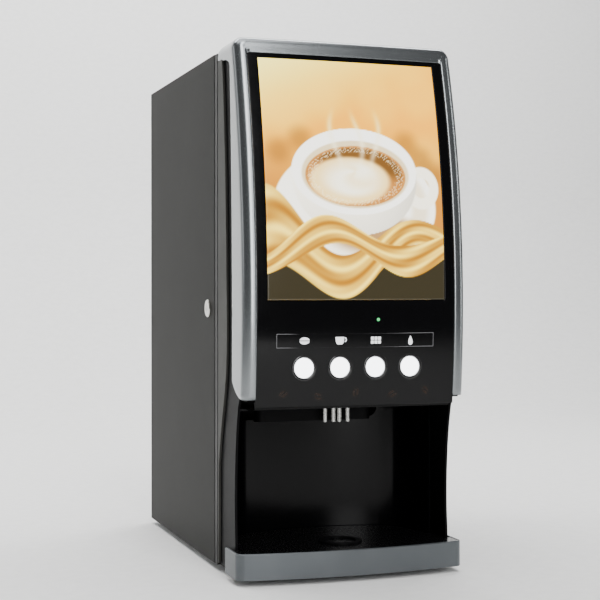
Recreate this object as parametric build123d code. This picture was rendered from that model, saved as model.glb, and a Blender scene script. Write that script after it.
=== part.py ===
from build123d import *

import math
import os

# Hot drink vending machine for instant powders, a counter-top cabinet with a full-height door.
# Millimetres. +Z is up, the door faces -Y, and X = 0 is the middle of the machine. Every piece is
# drawn about the cabinet, and moved back by SHIFT as it is written, so that the origin lies on the
# surface that the machine stands on, under the middle of its overall box.

os.makedirs("parts", exist_ok=True)

# ---- driving dimensions -------------------------------------------------------------------------
WIDTH = 300.0  # across the side panels
HALF = WIDTH / 2
DEPTH = 538.0  # front panel's crown to the water inlet's tip
SHIFT = -5.0  # from the drawing's origin to the overall box's middle
FRONT = -DEPTH / 2 - SHIFT
INLET_TIP = DEPTH / 2 - SHIFT
FOOT = 8.0  # rubber feet under the cabinet
CAB_TOP = 680.0
DOOR_TOP = 690.0
BACK = 259.0  # rear face of the side panels' flanges
SHEET = 1.2  # cabinet sheet steel
PANEL_EDGE = -124.0  # front edge of the side panels
FRAME_BACK, FRAME_FRONT = -125.0, -137.0
DOOR_BACK = -142.0

CROWN_Z = 348.0  # height where the front bulges most
CROWN_R = 1180.0  # radius of the door front in side view
BOW_R = 4000.0  # radius of the door front in plan
TRAY_BOW_R = 850.0
WINDOW_HALF = 133.0  # half the opening inside the silver frame
WINDOW_TOP = 669.0
CHIN = 222.5  # lower edge of the front panel

PICTURE_HALF, PICTURE_LOW, PICTURE_HIGH = 119.5, 357.0, 663.0
BUTTON_X = (-71.5, -23.8, 23.8, 71.5)
BUTTON_Z = 272.0
BUTTON_R = 12.5
LABEL = (-108.0, 104.0, 297.0, 315.0)  # left, right, low, high
LED_X, LED_Z = 27.0, 332.0

BAY_BACK = -80.0  # deepest point of the cup bay
BAY_BACK_R = 290.0
BAY_CORNER_R = 45.0
BAY_TOP = 217.0
TRAY_TOP = 41.0
TRAY_HALF = 153.5
TRAY_FRONT = -258.0
TRAY_GAP = 3.5  # between the basin and the bay's wall
GRID_PITCH = 9.0

CANISTER_X = (-92.0, 0.0, 92.0)
AUGER_Z = 478.0
BOWL_Y = -97.0
WHIPPER_Z = 337.0
NOZZLES = (-15.5, -3.6, 4.7, 16.4)
NOZZLE_Y = -181.0
PIN_X, PIN_Y, PIN_R = 142.0, -150.0, 3.0  # door hinge
LOCK_Y, LOCK_Z = -97.0, 345.0


# ---- helpers ------------------------------------------------------------------------------------
def block(x0, x1, y0, y1, z0, z1):
    """A box between two corners."""
    return Pos((x0 + x1) / 2, (y0 + y1) / 2, (z0 + z1) / 2) * Box(x1 - x0, y1 - y0, z1 - z0)


def rod(radius, start, end):
    """A cylinder from one point to another."""
    a, b = Vector(*start), Vector(*end)
    return extrude(Plane(a, z_dir=b - a) * Circle(radius), (b - a).length)


def tube(outer, inner, start, end):
    return rod(outer, start, end) - rod(inner, start, end)


def plate_xz(sketch, y0, y1):
    """A sketch drawn in X and Z, as a plate from y0 to the larger y1."""
    return extrude(Plane.XZ.offset(-y1) * sketch, y1 - y0)


def plate_yz(sketch, x0, x1):
    """A sketch drawn in Y and Z, as a plate from x0 to x1."""
    return extrude(Plane.YZ.offset(x0) * sketch, x1 - x0)


def plate_xy(sketch, z0, z1):
    return extrude(Plane.XY.offset(z0) * sketch, z1 - z0)


def polygon(*points):
    return make_face(Polyline(*points, close=True))


def hose(outer, inner, bend, *points):
    """A flexible tube along straight runs joined by arcs of one radius."""
    path = FilletPolyline(*points, radius=bend)
    start = Plane(path @ 0, z_dir=path % 0)
    return sweep(start * (Circle(outer) - Circle(inner)), path=path)


def bar(radius, bend, *points):
    """A bent rod."""
    path = FilletPolyline(*points, radius=bend)
    return sweep(Plane(path @ 0, z_dir=path % 0) * Circle(radius), path=path)


def solids_of(shapes):
    """Separate solids kept apart in one node."""
    return Compound(children=[s for shape in shapes for s in shape.solids()])


def largest(shape):
    """The main solid, without offcuts."""
    return shape.solids().sort_by(SortBy.VOLUME)[-1]


def save(name, shape):
    """Writes one node, moved so that the origin is under the middle of the overall box."""
    export_step(Pos(0, SHIFT, 0) * shape, f"parts/{name}.step")


def both_sides(shape):
    return shape, mirror(shape, about=Plane.YZ)


def front_y(x, z):
    """The front panel's outer surface, y at a place x, z."""
    reach = CROWN_R - x * x / (2 * BOW_R)
    return FRONT + CROWN_R - math.sqrt(reach**2 - (z - CROWN_Z) ** 2)


# ---- the door's double-curved front -------------------------------------------------------------
def bulge(offset, half, corner, back=-190.0):
    """The solid behind the curved front, its skin moved out by offset, turned about one long axis."""
    crown = FRONT - offset
    y_edge = crown + half * half / (2 * BOW_R)
    bow = Bezier((-half, y_edge), (0, crown - half * half / (2 * BOW_R)), (half, y_edge))
    face = make_face(bow + Polyline((half, y_edge), (half, back), (-half, back), (-half, y_edge)))
    face = fillet(face.vertices().group_by(Axis.Y)[0], corner)
    section = Plane.XY.offset(CROWN_Z) * face
    axis = Axis((0, FRONT + CROWN_R, CROWN_Z), (1, 0, 0))
    up = revolve(section, axis, -20)
    down = revolve(section, axis, 10)
    return up + down


def window_outline(half, low, high, corner):
    """Face of the front panel seen from the front: square below, rounded at the top."""
    shape = Pos(0, (low + high) / 2) * Rectangle(2 * half, high - low)
    return fillet(shape.vertices().group_by(Axis.Y)[-1], corner)


BEZEL_PROUD, BEZEL_WALL, PANEL_THICK = 1.5, 2.7, 4.0


def make_bezel():
    """Silver frame: a thin inverted U with a cap that runs back over the door."""
    outer = bulge(BEZEL_PROUD, HALF, 13, back=DOOR_BACK)
    hollow = bulge(BEZEL_PROUD - BEZEL_WALL, HALF - 3, 10, back=-100)
    silhouette = window_outline(HALF, CHIN - 20, DOOR_TOP, 16)
    inside = window_outline(HALF - 3, CHIN - 30, DOOR_TOP - 3, 13)
    shell = outer & plate_xz(silhouette, FRONT - 20, DOOR_BACK)
    shell -= hollow & plate_xz(inside, FRONT - 20, -100)
    shell -= plate_xz(window_outline(WINDOW_HALF, CHIN - 40, WINDOW_TOP, 14), FRONT - 20, -198)
    # In side view the cap reaches the seam, and the sides stop short and end in a curved chin.
    cap = Polyline((-300, 231), (-300, 700), (-120, 700), (-120, 668), (-190, 668))
    side = Spline((-190, 668), (-198, 660), (-206, 520), (-209, 357), (-208, 262))
    chin = Spline((-208, 262), (-209, 250), (-216, 243), (-235, 236.5), (-259, 233), (-300, 231))
    shell &= plate_yz(make_face(cap + side + chin), -HALF - 1, HALF + 1)
    # Slot for the upper hinge arm as the door opens.
    slot = block(125, HALF + 1, -164, DOOR_BACK + 1, 679.8, 682.8)
    return largest(shell - slot)


def make_front_panel():
    skin = bulge(0, HALF + 20, 1) - bulge(-PANEL_THICK, HALF + 30, 1, back=-100)
    panel = skin & plate_xz(window_outline(WINDOW_HALF - 0.4, CHIN + 0.5, WINDOW_TOP - 0.4, 13.6), -290, -195)
    window = Pos(0, (PICTURE_LOW + PICTURE_HIGH) / 2) * Rectangle(
        2 * PICTURE_HALF, PICTURE_HIGH - PICTURE_LOW
    )
    panel -= plate_xz(window, -290, -150)
    for x in BUTTON_X:
        panel -= rod(BUTTON_R + 4.2, (x, -290, BUTTON_Z), (x, -150, BUTTON_Z))
    panel -= rod(2.6, (LED_X, -290, LED_Z), (LED_X, -150, LED_Z))
    left, right, low, high = LABEL
    label = Pos((left + right) / 2, (low + high) / 2) * RectangleRounded(right - left, high - low, 1.5)
    return panel - plate_xz(label, -290, -150)


def skin_piece(sketch, proud, thick):
    """A piece of the curved front's skin, cut to a sketch in X and Z."""
    skin = bulge(proud, HALF + 20, 1) - bulge(proud - thick, HALF + 30, 1, back=-100)
    return skin & plate_xz(sketch, -290, -195)


def make_picture_pane():
    width = 2 * PICTURE_HALF - 0.4
    sketch = Pos(0, (PICTURE_LOW + PICTURE_HIGH) / 2) * Rectangle(width, PICTURE_HIGH - PICTURE_LOW - 0.4)
    return skin_piece(sketch, -0.1, 3.0)


def make_label_strip():
    left, right, low, high = LABEL
    middle = Pos((left + right) / 2, (low + high) / 2)
    sketch = middle * RectangleRounded(right - left - 0.4, high - low - 0.4, 1.3)
    return skin_piece(sketch, -0.4, 2.5)


# ---- door ---------------------------------------------------------------------------------------
CHEEK_OUT, CHEEK_IN = 146.8, 143.5
CHEEK_LOW = 9.0


def cheek_outline():
    """Side wall of the door in Y and Z."""
    bay = Spline((-213, 50), (-210.3, 100), (-212.5, 150), (-219, 197), (-226, 224))
    lip = Spline((-226, 224), (-234, 238), (-240, 262))
    upper = Spline((-240, 262), (-241, 348), (-235, 470), (-217, 600), (-196, 683))
    base = Polyline((-196, 683), (DOOR_BACK, 683), (DOOR_BACK, CHEEK_LOW), (-213, CHEEK_LOW), (-213, 50))
    return make_face(bay + lip + upper + base)


def make_door_shell():
    right = plate_yz(cheek_outline(), CHEEK_IN, CHEEK_OUT)
    left = mirror(right, about=Plane.YZ)
    lid = block(-CHEEK_IN, CHEEK_IN, -196, -172, 679.5, 683) + block(-CHEEK_IN, 118, -172, -142, 679.5, 683)
    rail = block(-CHEEK_IN, 118, -145, DOOR_BACK, 664, 679.5)
    shelf = block(-CHEEK_IN, CHEEK_IN, -240, DOOR_BACK, 248, 251)
    posts = block(128, CHEEK_IN, -145, DOOR_BACK, 251, 670)
    post_left = block(-CHEEK_IN, -128, -145, DOOR_BACK, 251, 664)
    # A rim behind the front panel's edges carries it.
    rim = bulge(-PANEL_THICK - 0.2, HALF + 20, 1) - bulge(-PANEL_THICK - 3.2, HALF + 30, 1, back=-100)
    outer = Pos(0, 456) * Rectangle(2 * CHEEK_IN, 450)
    inner = Pos(0, 456) * Rectangle(2 * 124, 424)
    rim &= plate_xz(outer - inner, -290, -195)
    web = bulge(-PANEL_THICK - 0.2, HALF + 20, 1, back=-100)
    web &= block(140.5, CHEEK_IN, -290, -200, 231, 681)
    shell = left + right + lid + rail + shelf + posts + post_left + rim + web + mirror(web, about=Plane.YZ)
    # Ears with the bores for the two hinge pins.
    shell += block(122, CHEEK_IN, -166, -143, 668, 673) + block(118, CHEEK_IN, -172, -143, CHEEK_LOW, 12)
    shell -= rod(PIN_R + 0.06, (PIN_X, PIN_Y, 0), (PIN_X, PIN_Y, 20))
    shell -= rod(PIN_R + 0.06, (PIN_X, PIN_Y, 660), (PIN_X, PIN_Y, 690))
    silhouette = Pos(0, 341.5) * Rectangle(2 * CHEEK_OUT, 683)
    return shell & plate_xz(fillet(silhouette.vertices().group_by(Axis.Y)[-1], 16), -300, -100)


def bay_plan(grow=0.0, front=-175.0):
    """Plan of the cup bay behind the cheeks, its wall moved out by grow."""
    back_r, corner_r = BAY_BACK_R + grow, BAY_CORNER_R + grow
    centre_y = BAY_BACK - BAY_BACK_R
    turn = math.asin(95.0 / BAY_BACK_R)
    side = math.radians(75)
    cx = (BAY_BACK_R - BAY_CORNER_R) * math.sin(turn)
    cy = centre_y + (BAY_BACK_R - BAY_CORNER_R) * math.cos(turn)

    def corner(angle):
        return cx + corner_r * math.sin(angle), cy + corner_r * math.cos(angle)

    x1, y1 = back_r * math.sin(turn), centre_y + back_r * math.cos(turn)
    x2, y2 = corner(side)
    x3 = x2 + (y2 - front) / math.tan(side)
    back = ThreePointArc((-x1, y1), (0, centre_y + back_r), (x1, y1))
    right = ThreePointArc((x1, y1), corner((turn + side) / 2), (x2, y2))
    mx, my = corner((turn + side) / 2)
    left = ThreePointArc((-x2, y2), (-mx, my), (-x1, y1))
    sides = Line((x2, y2), (x3, front)) + Line((-x3, front), (-x2, y2)) + Line((x3, front), (-x3, front))
    return make_face(back + right + left + sides)


def make_bay_liner():
    """Moulded bay lining: a bent wall on a floor plate, under a ceiling with the door's front lip."""
    wall = plate_xy(bay_plan(2.5), 12.6, BAY_TOP) - plate_xy(bay_plan(0, front=-180), 10, BAY_TOP + 5)
    wall -= block(-200, 200, -181, -174.9, 10, BAY_TOP + 5)
    floor = plate_xy(bay_plan(2.5), 10.6, 12.6) + block(-CHEEK_IN, CHEEK_IN, -211, -175, 10.6, 12.6)
    ceiling = plate_xy(bay_plan(2.5), BAY_TOP, BAY_TOP + 2.5)
    ceiling += block(-CHEEK_IN, CHEEK_IN, -221, -175, BAY_TOP, BAY_TOP + 2.5)
    slope = polygon((-268, CHIN + 2), (-268, CHIN - 0.5), (-221, BAY_TOP), (-221, BAY_TOP + 2.5))
    ceiling += plate_yz(slope, -132, 132) & bulge(-PANEL_THICK - 3.4, HALF + 20, 1)
    # Room for the shell's lower ear.
    floor -= block(117.5, 150, -172.5, -142.5, 10, 12.7)
    # Room for the outlet hood and tubes as the door swings.
    mouth = Pos(-10, 220) * Rectangle(204, 54)
    mouth = fillet(mouth.vertices().group_by(Axis.Y)[0], 12)
    wall -= plate_xz(mouth, -100, -50)
    ceiling -= block(-112, 92, -171, -50, BAY_TOP - 1, BAY_TOP + 3)
    ceiling -= block(-34, 42, -198, -170, BAY_TOP - 1, BAY_TOP + 3)
    return [largest(wall), largest(floor), largest(ceiling)]


def make_side_trims():
    curve = Spline((-162, 668), (-169, 614), (-179, 485), (-184, 357), (-179, 254), (-162, 201), (-146, 140))
    edge = Polyline((-146, 140), (-145, 12), (DOOR_BACK, 12), (DOOR_BACK, 668), (-162, 668))
    trim = plate_yz(make_face(curve + edge), CHEEK_OUT + 0.2, HALF)
    return both_sides(trim)


def make_light_box():
    """White tray behind the picture, with three lamp bars in it."""
    outer = block(-122, 122, -214, -146, 352, 668)
    tray = outer - block(-120, 120, -220, -148, 354, 666)
    tray &= bulge(-8, HALF + 20, 1, back=-100)
    bars = []
    for x in (-70, 0, 70):
        bars.append(block(x - 7, x + 7, -151, -148.05, 372, 648))
    return [tray, *bars]


def make_button(x):
    """Lit cap with a stem that presses the switch."""
    face = front_y(x, BUTTON_Z)
    cap = rod(BUTTON_R, (x, face - 1.2, BUTTON_Z), (x, face + 9, BUTTON_Z))
    cap = chamfer(cap.edges().group_by(Axis.Y)[0], 0.8)
    return cap + rod(4, (x, face + 9, BUTTON_Z), (x, -239.4, BUTTON_Z))


def make_button_board():
    """Circuit board with four switches, and the rings that guide the caps."""
    board = block(-112, 112, -232, -230.4, 256, 338)
    for x in BUTTON_X:
        board += block(x - 7, x + 7, -236.5, -232, BUTTON_Z - 7, BUTTON_Z + 7)
    board += rod(1.8, (LED_X, -240, LED_Z), (LED_X, -232, LED_Z))
    board += block(-20, 20, -230.4, -224, 262, 274)
    pieces = [board]
    for x in BUTTON_X:
        face = front_y(x, BUTTON_Z)
        ring = tube(BUTTON_R + 4, BUTTON_R + 0.35, (x, face - 0.9, BUTTON_Z), (x, face + 14, BUTTON_Z))
        pieces.append(ring)
    return pieces


def make_status_led():
    face = front_y(LED_X, LED_Z)
    return rod(2.5, (LED_X, face - 0.6, LED_Z), (LED_X, -240, LED_Z))


def make_latch_hook():
    """Steel hook on the door that the lock's cam holds."""
    arm = block(-122.5, -120.5, -142, -86, 355, 373)
    lip = block(-127, -122.5, -88, -86, 355, 373)
    foot = block(-140, -120.5, -142, -140, 355, 373)
    return arm + lip + foot


def tray_outline(half, front, corner, back):
    """Plan of the drip tray's bowed front and its side arms."""
    y_edge = front + half * half / (2 * TRAY_BOW_R)
    bow = ThreePointArc((-half, y_edge), (0, front), (half, y_edge))
    face = make_face(bow + Polyline((half, y_edge), (half, back), (-half, back), (-half, y_edge)))
    return fillet(face.vertices().group_by(Axis.Y)[0], corner)


def basin_plan(inset):
    """Plan of the tray between the cheeks, with its wider front."""
    rear = bay_plan(-TRAY_GAP - inset, front=-200) & Rectangle(2 * (139.5 - inset), 460)
    throat = Pos(0, -207) * Rectangle(2 * (139.5 - inset), 60)
    front = tray_outline(TRAY_HALF - 3 - inset, TRAY_FRONT + 3 + inset, 9 - inset, -216 - inset)
    return (rear & (Pos(0, -130) * Rectangle(400, 140))) + throat + front


def make_drip_tray():
    """Painted lip, and the basin that is clipped behind it."""
    lip = plate_xy(tray_outline(TRAY_HALF, TRAY_FRONT, 12, -189), FOOT, TRAY_TOP)
    lip = chamfer(lip.edges().group_by(Axis.Z)[-1], 1)
    lip -= plate_xy(tray_outline(TRAY_HALF - 3, TRAY_FRONT + 3, 9, -150), 0, 60)
    basin = plate_xy(basin_plan(0), 13, 38.3) - plate_xy(basin_plan(2.4), 15.4, 60)
    return [lip, largest(basin)]


def make_drip_grid():
    grid = plate_xy(basin_plan(0.3), 38.5, 40.6)
    holes = []
    for row in range(17):
        y = -240.0 + GRID_PITCH * row
        reach = 126 if row < 13 else 126 - 13 * (row - 12)
        count = int(2 * reach // GRID_PITCH)
        for k in range(count + 1):
            x = (k - count / 2) * GRID_PITCH
            if math.hypot(x, y + 196) > 33:
                holes.append(Pos(x, y) * Circle(1.9))
    grid -= plate_xy(Sketch() + holes, 30, 50)
    drains = Sketch() + [Rot(0, 0, 60 * k) * Pos(12, 0) * SlotOverall(10, 4) for k in range(6)]
    return grid - Pos(0, -196, 0) * plate_xy(drains, 30, 50)


def make_cup_rest():
    ring = tube(29, 21, (0, -196, 40.6), (0, -196, 43))
    return fillet(ring.edges().group_by(Axis.Z)[-1], 0.8)


# ---- cabinet ------------------------------------------------------------------------------------
SCREW_Z = (40.0, 240.0, 440.0, 640.0)
FAN_X, FAN_Z = 75.0, 600.0
INLET_X, INLET_Z = -92.0, 60.0
MAINS_X, MAINS_Z = 40.0, 95.0
SWITCH_X, SWITCH_Z = 100.0, 95.0


def make_side_panel(side):
    """Folded sheet: a side with a front and a rear flange. side is -1 for left and 1 for right."""
    panel = block(-HALF, SHEET - HALF, PANEL_EDGE, BACK, FOOT, CAB_TOP)
    panel += block(-HALF, -138, PANEL_EDGE, PANEL_EDGE + SHEET, FOOT, CAB_TOP)
    panel += block(-HALF, -138, BACK - SHEET, BACK, FOOT, CAB_TOP)
    for z in SCREW_Z:
        panel -= rod(1.8, (-143, BACK - 3, z), (-143, BACK + 1, z))
    if side < 0:
        return panel - rod(9.3, (-155, LOCK_Y, LOCK_Z), (-140, LOCK_Y, LOCK_Z))
    return mirror(panel, about=Plane.YZ)


def make_top_panel():
    top = block(-148.6, 148.6, -122.6, 256.4, 660, CAB_TOP)
    return top - block(-147.4, 147.4, -121.4, 255.2, 650, CAB_TOP - SHEET)


def make_back_panel():
    y0, y1 = BACK - 2 * SHEET, BACK - SHEET
    panel = block(-148.6, 148.6, y0, y1, 9.4, 678.6)
    cuts = []
    for k in range(-4, 5):
        width = 2 * math.sqrt(36**2 - (k * 7.5) ** 2)
        cuts.append(Pos(-FAN_X, FAN_Z + k * 7.5) * SlotOverall(width, 4))
    for row in range(9):
        for x in (-80, 0, 80):
            cuts.append(Pos(x, 200 + row * 12) * SlotOverall(56, 4))
    cuts.append(Pos(-INLET_X, INLET_Z) * Circle(6.2))
    cuts.append(Pos(-INLET_X - 40, INLET_Z) * Circle(6.2))
    cuts.append(Pos(-MAINS_X, MAINS_Z) * Rectangle(27.4, 20.4))
    cuts.append(Pos(-SWITCH_X, SWITCH_Z) * Rectangle(21.4, 28.4))
    for z in SCREW_Z:
        cuts += [Pos(-143, z) * Circle(1.8), Pos(143, z) * Circle(1.8)]
    # Seen from behind, X runs the other way.
    tool = extrude(Plane((0, y1 + 1, 0), x_dir=(-1, 0, 0), z_dir=(0, 1, 0)) * (Sketch() + cuts), -5)
    return panel - tool


def make_base_plate():
    base = block(-148.6, 148.6, -122.6, 256.4, FOOT, 24)
    return base - block(-147.4, 147.4, -130, 255.2, FOOT + SHEET, 30)


def make_front_frame():
    ring = block(-149.5, 149.5, FRAME_FRONT, FRAME_BACK, 8.5, 679.5)
    return ring - block(-137.2, 137.2, -150, -100, 10, 667)


def make_hinge_brackets():
    """Upper and lower hinge arms, each with its pin."""
    low = block(134, 149, -158, -100, 5.4, 7.9) + rod(PIN_R, (PIN_X, PIN_Y, 5.4), (PIN_X, PIN_Y, 14))
    high = block(134, 149, -158, -100, 680.1, 682.4) + rod(PIN_R, (PIN_X, PIN_Y, 666), (PIN_X, PIN_Y, 682.4))
    return [low, high]


def make_bulkhead():
    wall = block(-148.4, 148.4, -58, -56.8, 24.2, 446.6)
    for x in CANISTER_X:
        wall -= rod(10, (x, -60, WHIPPER_Z), (x, -50, WHIPPER_Z))
        wall -= rod(5.3, (x + 20, -60, 400), (x + 20, -50, 400))
    return wall - rod(5.3, (40, -60, 300), (40, -50, 300))


def make_canister_shelf():
    """Shelf folded up at the back to carry the auger motors."""
    shelf = block(-147.2, 147.2, -92, 96.2, 446.8, 448)
    shelf += block(-147.2, 147.2, 95, 96.2, 446.8, 560)
    shelf += block(-147.2, -146, -92, 96.2, 448, 470) + block(146, 147.2, -92, 96.2, 448, 470)
    for x in CANISTER_X:
        shelf -= rod(6.5, (x, 90, AUGER_Z), (x, 100, AUGER_Z))
    return shelf


# ---- powder and mixing --------------------------------------------------------------------------
def trough(half, radius, top, drop):
    """Canister section in X and Z: a box that narrows to a round trough around the auger."""
    shoulder = AUGER_Z + 46
    left_side = [(-radius, AUGER_Z), (-half, shoulder), (-half, top)]
    points = left_side + [(half, top), (half, shoulder), (radius, AUGER_Z)]
    arc = ThreePointArc((radius, AUGER_Z), (0, AUGER_Z - radius), (-radius, AUGER_Z))
    return Pos(0, drop) * make_face(Polyline(*points) + arc)


def make_canister(x):
    outer = plate_xz(trough(43, 20, 640, 0), -94, 90)
    inner = plate_xz(trough(40.5, 17.5, 642, 0), -91.5, 87.5)
    body = outer - inner
    body += rod(20, (0, -112, AUGER_Z), (0, -94, AUGER_Z))
    body -= rod(17.5, (0, -113, AUGER_Z), (0, -90, AUGER_Z))
    body -= rod(5, (0, 80, AUGER_Z), (0, 95, AUGER_Z))
    body += block(-16, 16, -60, -54, 448, 466) + block(-16, 16, 50, 56, 448, 466)
    body -= rod(17.5, (0, -92, AUGER_Z), (0, 87.5, AUGER_Z))
    return Pos(x, 0, 0) * body


def make_canister_lid(x):
    lid = block(-43.4, 43.4, -94.4, 90.4, 640.1, 643.5)
    lid += block(-39.9, 39.9, -90.9, 86.9, 634, 640.1) - block(-37.9, 37.9, -88.9, 84.9, 630, 640.1)
    grip = block(-10, 10, -8, 4, 643.5, 651)
    return Pos(x, 0, 0) * (lid + fillet(grip.edges().filter_by(Axis.Z), 3))


def make_powder_outlet(x):
    """Elbow that turns the powder down into the bowl."""
    elbow = rod(22.6, (0, -117, AUGER_Z), (0, -98, AUGER_Z))
    elbow += rod(11, (0, -105.4, AUGER_Z - 10), (0, -105.4, 426))
    elbow -= rod(20.3, (0, -115, AUGER_Z), (0, -90, AUGER_Z))
    elbow -= rod(8.5, (0, -105.4, AUGER_Z), (0, -105.4, 420))
    return Pos(x, 0, 0) * elbow


def make_auger(x):
    """Drive shaft with a wire helix that pushes the powder forward."""
    shaft = rod(4, (0, -108, 0), (0, 120, 0))
    path = Helix(pitch=16, height=184, radius=13, center=(0, -104, 0), direction=(0, 1, 0))
    wire = sweep(Plane(path @ 0, z_dir=path % 0) * Circle(1.7), path=path, is_frenet=True)
    front = rod(1.6, (0, 0, 0), (13, 0, 0))
    start, end = path @ 0, path @ 1
    arms = rod(1.5, (0, start.Y, 0), (start.X, start.Y, start.Z))
    arms += rod(1.5, (0, end.Y, 0), (end.X, end.Y, end.Z))
    return Pos(x, 0, AUGER_Z) * (shaft + wire + arms)


def make_auger_motor(x):
    box = block(-24, 24, 96.4, 124, -24, 24) - rod(4.1, (0, 90, 0), (0, 121, 0))
    motor = rod(17, (0, 124, -4), (0, 148, -4)) + rod(5, (0, 148, -4), (0, 151, -4))
    return Pos(x, 0, AUGER_Z) * (box + motor)


def make_mixing_bowl(x):
    """Funnel, whipping chamber and outlet as one turned shape, with a neck for the motor."""
    outside = [(0, 418), (36, 418), (36, 414), (33, 400), (20, 362), (20, 320), (7, 306), (7, 286), (0, 286)]
    inside = [(0, 419), (33.5, 419), (31, 401), (17.6, 362), (17.6, 321), (4.6, 307), (4.6, 285), (0, 285)]
    solid = revolve(Plane.XZ * polygon(*outside), Axis.Z, 360)
    solid += rod(15, (0, 19, WHIPPER_Z), (0, 32.8, WHIPPER_Z))
    solid += rod(5, (20, 24, 400), (20, 38.5, 400))
    solid -= revolve(Plane.XZ * polygon(*inside), Axis.Z, 360)
    solid -= rod(7, (0, 10, WHIPPER_Z), (0, 40, WHIPPER_Z))
    solid -= rod(3.4, (20, 16, 400), (20, 40, 400))
    return Pos(x, BOWL_Y, 0) * solid


def make_whipper(x):
    """Impeller on its shaft."""
    turn = rod(2.4, (0, -100, 0), (0, -42, 0)) + rod(6, (0, -99, 0), (0, -92, 0))
    disc = rod(14, (0, -94, 0), (0, -92, 0))
    vanes = [Rot(0, 60 * k, 0) * block(4, 13.6, -99, -94, -0.8, 0.8) for k in range(6)]
    for vane in vanes:
        disc += vane
    return Pos(x, 0, WHIPPER_Z) * (turn + disc)


def make_whipper_motor(x):
    flange = rod(15, (0, -64, 0), (0, -58, 0)) + rod(9.8, (0, -58, 0), (0, -54, 0))
    body = flange + rod(17, (0, -56.6, 0), (0, -14, 0)) + rod(6, (0, -14, 0), (0, -10, 0))
    return Pos(x, 0, WHIPPER_Z) * (body - rod(2.5, (0, -65, 0), (0, -40, 0)))


def make_nozzle_manifold():
    """Black moulding on the bulkhead whose arm carries the four outlet tubes over the cup."""
    plate = block(-112, 112, -61.5, -58.2, 178, 244)
    arm = block(-24, 24, -192, -61.5, BAY_TOP + 3, 234)
    hood = plate_xy(Pos(-25, -158) * RectangleRounded(162, 20, 9.9), 197, BAY_TOP + 3.5)
    body = plate + arm + hood
    for x in NOZZLES:
        body -= rod(3.25, (x, NOZZLE_Y, 210), (x, NOZZLE_Y, 228))
    for x in (-18, -6, 6, 18):
        body += rod(3.4, (x, -80, 230), (x, -80, 246))
    return body


def make_nozzle_tube(x):
    return tube(3.2, 2.3, (x, NOZZLE_Y, 196), (x, NOZZLE_Y, 227.8))


# ---- water --------------------------------------------------------------------------------------
VALVE_X = (-92.0, -40.0, 12.0, 64.0)
TANK = (-125.0, 95.0, 160.0, 250.0, 300.0, 500.0)


def make_boiler_tank():
    x0, x1, y0, y1, z0, z1 = TANK
    outer = block(*TANK)
    outer = fillet(outer.edges().filter_by(Axis.Z), 12)
    inner = block(x0 + 1.5, x1 - 1.5, y0 + 1.5, y1 - 1.5, z0 + 1.5, z1 + 5)
    tank = outer - fillet(inner.edges().filter_by(Axis.Z), 10.5)
    for x in (x0 + 14, x1 - 26):
        for y in (y0 + 14, y1 - 26):
            tank += block(x, x + 12, y, y + 12, FOOT + SHEET + 0.1, z0)
            tank += block(x - 8, x + 20, y - 8, y + 20, FOOT + SHEET + 0.1, FOOT + SHEET + 2.1)
    for x in VALVE_X:
        tank -= rod(5.2, (x, 150, 330), (x, 170, 330))
    return tank


def make_boiler_lid():
    x0, x1, y0, y1, z0, z1 = TANK
    lid = block(x0 - 3, x1 + 3, y0 - 3, y1 + 3, z1 + 0.1, z1 + 3)
    lid = fillet(lid.edges().filter_by(Axis.Z), 14)
    lid -= rod(4.3, (-60, 205, 490), (-60, 205, 510)) + rod(4.3, (40, 205, 490), (40, 205, 510))
    lid += tube(6, 4, (70, 205, z1 + 3), (70, 205, z1 + 18))
    return lid - rod(4, (70, 205, 490), (70, 205, 530))


def make_heating_element():
    loop = bar(4, 14, (-60, 205, 512), (-60, 205, 330), (40, 205, 330), (40, 205, 512))
    pins = rod(1.5, (-60, 205, 512), (-60, 205, 520)) + rod(1.5, (40, 205, 512), (40, 205, 520))
    return loop + pins


def make_water_valve(x):
    body = block(-11, 11, 124, 152, 319, 341)
    body += rod(5, (0, 152, 330), (0, 165, 330)) + rod(5, (0, 112, 330), (0, 124, 330))
    coil = rod(11.5, (0, 138, 341), (0, 138, 371)) + rod(3, (0, 138, 371), (0, 138, 375))
    return Pos(x, 0, 0) * (body + coil)


def make_water_pump():
    """Vibrating pump on a rubber foot."""
    floor = FOOT + SHEET + 0.1
    head = block(-130, -86, 48, 80, 20, 66) + rod(19, (-108, 80, 43), (-108, 126, 43))
    head += block(-126, -90, 44, 120, floor, 13) + block(-120, -96, 50, 116, 13, 28)
    return head + rod(4.5, (-118, 38, 54), (-118, 48, 54)) + rod(4.5, (-98, 38, 54), (-98, 48, 54))


def make_water_hoses():
    """Silicone hoses between the inlet, pump, boiler, valves, bowls and outlet arm."""
    inlet = [(INLET_X, 240, INLET_Z), (INLET_X, 212, INLET_Z), (-140, 196, INLET_Z), (-140, 14, 54)]
    runs = [hose(4.6, 3, 10, *inlet, (-118, 14, 54), (-118, 38, 54))]
    feed = [(-98, 38, 54), (-98, 14, 54), (-98, 14, 84), (-134, 22, 100), (-134, 110, 200)]
    runs.append(hose(4.6, 3, 10, *feed, (-134, 110, 540), (70, 205, 540), (70, 205, 518)))
    for valve, bowl in zip((0, 1, 3), CANISTER_X):
        x, end = VALVE_X[valve], bowl + 20
        points = [(x, 112, 330), (x, 60, 330), (end, 20, 366), (end, -16, 400), (end, -58.5, 400)]
        runs.append(hose(4.6, 3, 12, *points))
    plain = [(12, 112, 330), (12, 40, 330), (40, -16, 300), (40, -72, 300), (6, -80, 282), (6, -80, 246)]
    runs.append(hose(4.6, 3, 10, *plain))
    for x, barb in zip(CANISTER_X, (-18, -6, 18)):
        points = [(x, BOWL_Y, 286), (x, BOWL_Y, 272), (barb, -80, 264), (barb, -80, 246)]
        runs.append(hose(4.2, 2.8, 6, *points))
    return runs


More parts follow.
